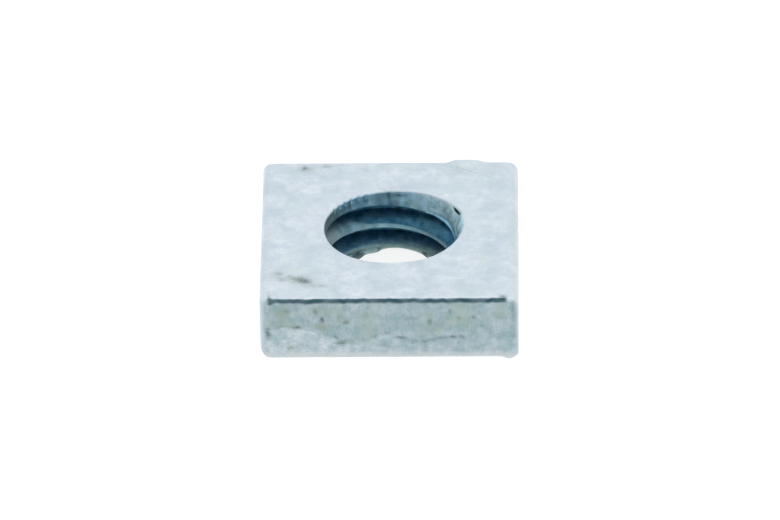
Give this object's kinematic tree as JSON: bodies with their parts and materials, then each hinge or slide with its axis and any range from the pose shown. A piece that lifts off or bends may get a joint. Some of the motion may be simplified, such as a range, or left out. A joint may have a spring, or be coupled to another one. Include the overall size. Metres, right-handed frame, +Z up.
{
  "type": "square nut",
  "caption": "Thin square nut with a right-hand thread through it, cropped from flat bar.",
  "frame": {"origin": "middle of the lower bearing face's outline, on the surface that the nut lies on", "axes": "+Z up through the threaded hole, +Y along the bar that the nut was cropped from, away from the shear cut that faces the viewer, +X towards the rolled edge on the right"},
  "size_m": [0.01, 0.01, 0.0026],
  "materials": {
    "zinc_plate": "steel with bright zinc plating, satin, pale and slightly blue, duller on the sheared ends"
  },
  "bodies": {
    "root": {"square_nut": "zinc_plate"}
  },
  "joints": []
}
